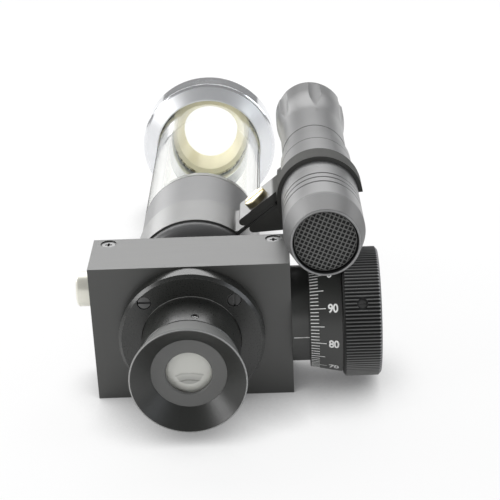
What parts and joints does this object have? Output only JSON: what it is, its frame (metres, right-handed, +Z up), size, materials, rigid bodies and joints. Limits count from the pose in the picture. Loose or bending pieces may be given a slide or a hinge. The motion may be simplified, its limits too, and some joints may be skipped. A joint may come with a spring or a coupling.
{
  "type": "measuring microscope",
  "caption": "Hand-held measuring microscope with a micrometer drum on its square head, a clear light sleeve on a chromed foot and a torch clipped beside the tube.",
  "frame": {"origin": "centre of the foot's end face, on the optical axis", "axes": "+Y along the optical axis out of the foot towards the sample, +Z up as the instrument lies on the table, +X towards the micrometer drum"},
  "size_m": [0.0914, 0.1911, 0.0701],
  "materials": {
    "head_black": "charcoal satin paint",
    "black_anodised": "black anodised, satin",
    "torch_black": "black anodised, semi-gloss",
    "eyecup_black": "black anodised, finely turned",
    "black_screw": "blackened",
    "steel": "bright",
    "bare_aluminium": "machined",
    "brass": "polished, slightly dull",
    "nickel": "nickel plated, turned",
    "glass": "clear, coated",
    "clear_acrylic": "clear, polished",
    "chrome": "brushed chrome plate",
    "ivory": "ivory",
    "black_steel": "matt black coat",
    "rubber": "cross-hatched",
    "switch_plastic": "moulded",
    "cell_wrap": "wrapped",
    "reflector": "metallised"
  },
  "bodies": {
    "stand": {"head_housing": "head_black", "rear_cover": "head_black", "cover_screws": "black_screw", "eyepiece_flange": "black_anodised", "flange_screws": "black_screw", "eyepiece_barrel": "black_anodised", "barrel_set_screw": "steel", "scale_glass": "glass", "guide_rods": "steel", "return_spring": "steel", "spring_plug": "nickel", "micrometer_sleeve": "black_anodised", "tube_neck": "black_anodised", "neck_screws": "steel", "objective_tube": "black_anodised", "objective_cell": "black_anodised", "objective_lens": "glass", "lens_ring": "black_anodised", "light_sleeve": "clear_acrylic", "foot_ring": "chrome", "aperture_ring": "ivory"},
    "lens_cell": {"lens_cell": "black_anodised", "eye_lens": "glass", "field_lens": "glass"},
    "eyecup": {"eyecup": "eyecup_black"},
    "carriage": {"reticle_carriage": "bare_aluminium", "carriage_nut": "brass", "line_glass": "glass"},
    "drum": {"lead_spindle": "steel", "thimble": "black_anodised", "knurled_knob": "black_anodised", "knob_set_screw": "black_screw", "drum_end_screw": "steel"},
    "bracket": {"tube_strap": "black_steel"},
    "torch": {"torch_clip": "black_steel", "clip_screw": "brass", "clip_nut": "brass", "tail_cap": "torch_black", "button_spring": "steel", "switch_module": "switch_plastic", "torch_body": "torch_black", "torch_cell": "cell_wrap", "torch_head": "torch_black", "torch_bezel": "torch_black", "torch_glass": "glass", "reflector": "reflector", "light_module": "brass"},
    "button": {"tail_button": "rubber"}
  },
  "joints": [
    {"name": "drum_turn", "type": "hinge", "parent": "stand", "child": "drum", "pos_m": [0.03, -0.1516, 0.00015], "axis": [1, 0, 0], "range_deg": [-1440, 1440]},
    {"name": "carriage_slide", "type": "slide", "parent": "stand", "child": "carriage", "axis": [1, 0, 0], "range_m": [-0.004, 0.004], "deforming": ["return_spring"]},
    {"name": "focus_travel", "type": "slide", "parent": "stand", "child": "lens_cell", "axis": [0, -1, 0], "range_m": [0, 0.002]},
    {"name": "focus_turn", "type": "hinge", "parent": "lens_cell", "child": "eyecup", "pos_m": [0, -0.185, 0], "axis": [0, -1, 0], "range_deg": [0, 360]},
    {"name": "bracket_swing", "type": "hinge", "parent": "stand", "child": "bracket", "pos_m": [0, -0.12, 0], "axis": [0, -1, 0], "range_deg": [0, 235]},
    {"name": "torch_swing", "type": "hinge", "parent": "bracket", "child": "torch", "pos_m": [0.02452, -0.12, 0.01929], "axis": [-0.6184, 0, 0.7859], "range_deg": [0, 9]},
    {"name": "button_press", "type": "slide", "parent": "torch", "child": "button", "axis": [-0.0111, 0.9979, -0.0645], "range_m": [0, 0.0012], "stiffness_N_per_m": 1500, "springref_m": -0.0005, "deforming": ["button_spring"]}
  ],
  "couplings": [
    {"joint": "carriage_slide", "follows": "drum_turn", "m_per_rad": -0.00015915},
    {"joint": "focus_travel", "follows": "focus_turn", "m_per_rad": 0.0003183}
  ]
}
